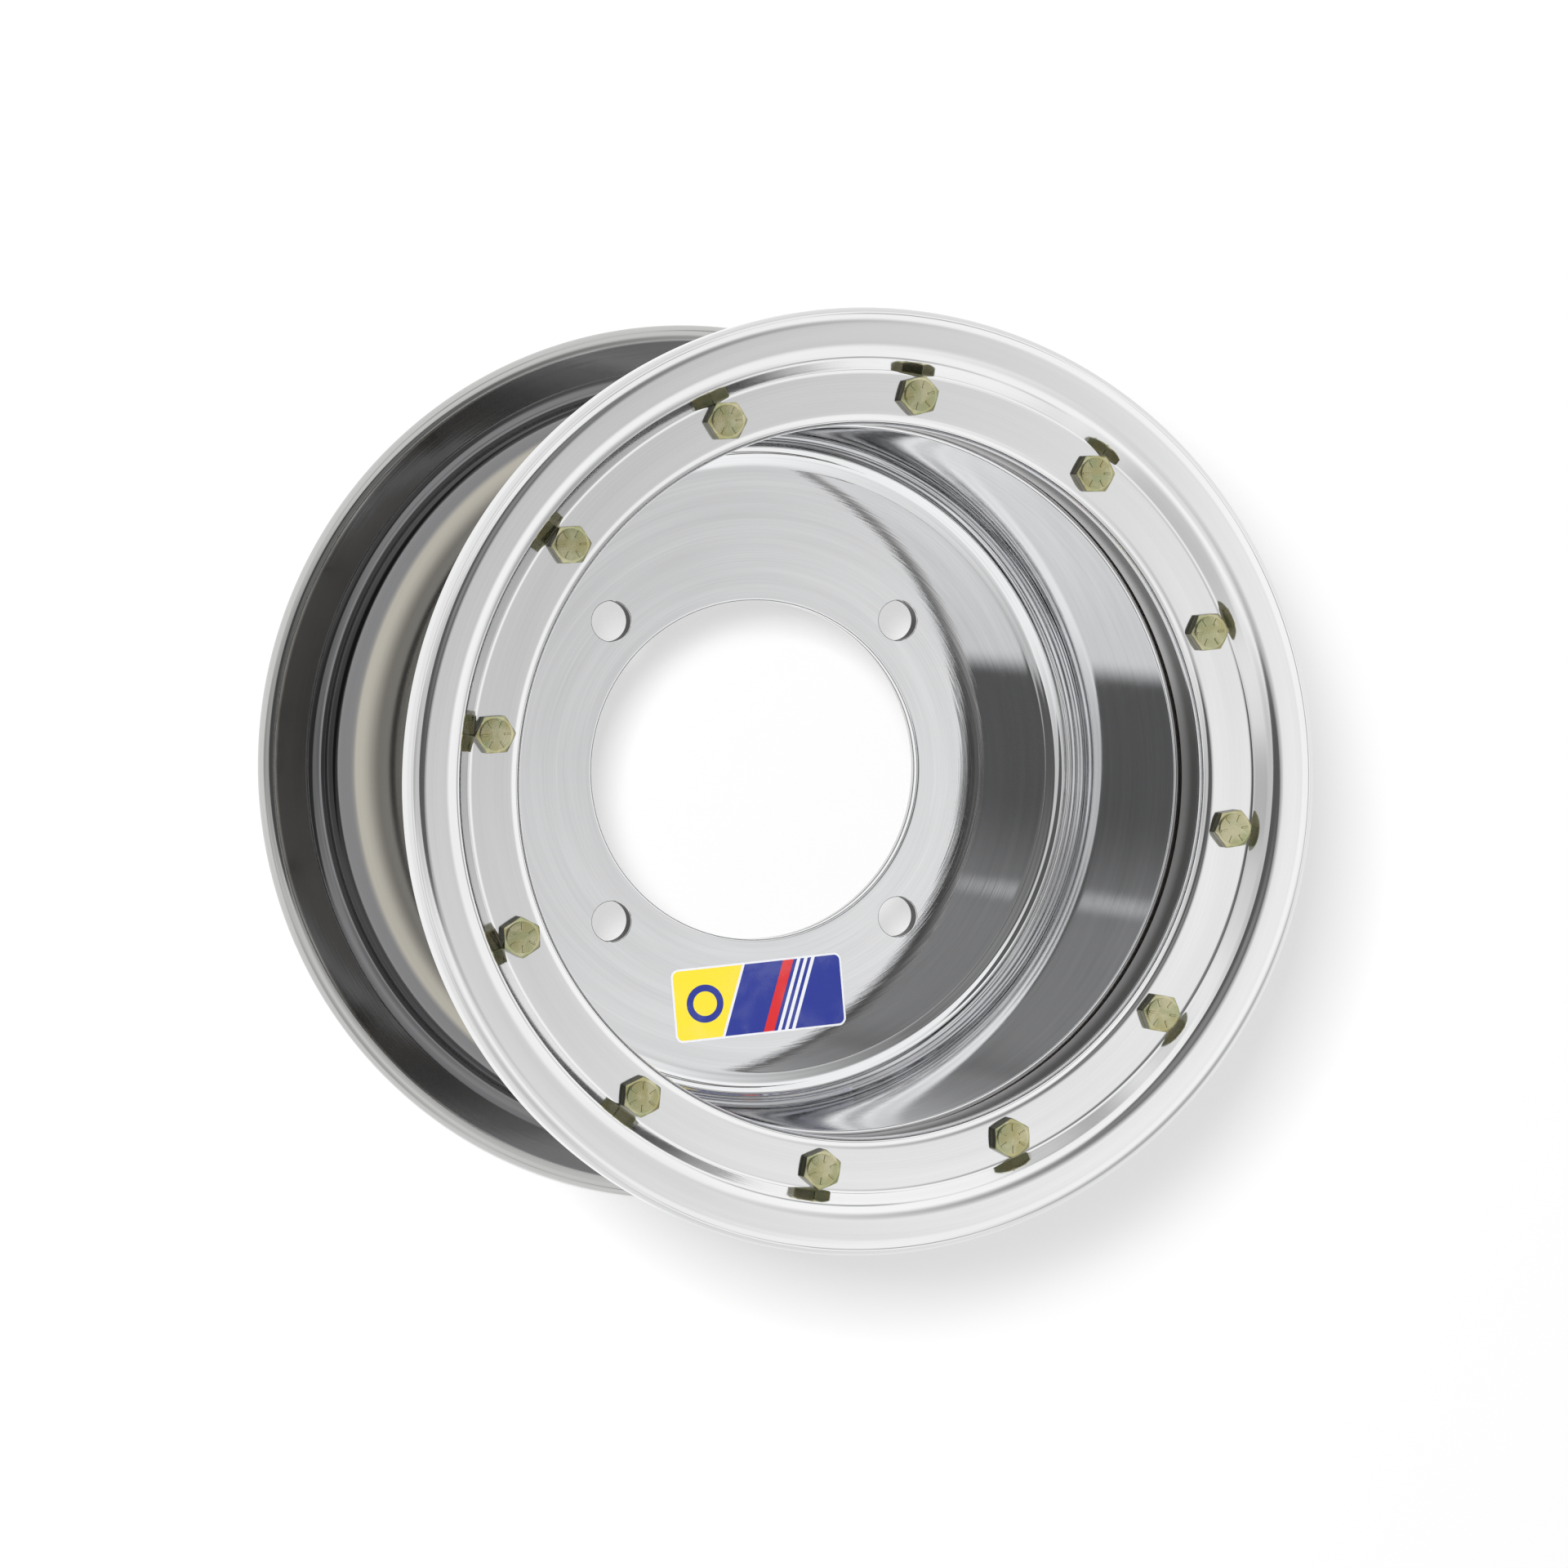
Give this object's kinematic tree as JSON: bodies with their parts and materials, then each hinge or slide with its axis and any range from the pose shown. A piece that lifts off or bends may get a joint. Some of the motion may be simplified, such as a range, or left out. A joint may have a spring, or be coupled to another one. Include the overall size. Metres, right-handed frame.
{
  "type": "beadlock wheel",
  "caption": "Spun aluminium off-road wheel with a bored flat hub disc, a rolled rear rim and an outer ring that bolts over a fixed ring to clamp the tyre's bead.",
  "frame": {"origin": "centre of the hub bore on the face of the hub disc that meets the vehicle's hub", "axes": "+Z along the axle line towards the outboard side; the wheel lies on its rolled rear rim; +X points away from the valve hole"},
  "size_m": [0.294, 0.294, 0.214],
  "materials": {
    "polished_aluminium": "polished on a lathe",
    "polished_ring": "bright polished",
    "spun_aluminium": "spun, polished rim and seat, brushed well",
    "machined_aluminium": "turned",
    "yellow_zinc": "yellow zinc plate",
    "weld_metal": "as welded"
  },
  "bodies": {
    "root": {"front_half": "polished_aluminium", "clamp_ring": "polished_ring", "rear_half": "spun_aluminium", "bead_ring": "machined_aluminium", "clamp_bolts": "yellow_zinc", "ring_weld": "weld_metal", "hub_weld": "weld_metal"}
  },
  "joints": []
}
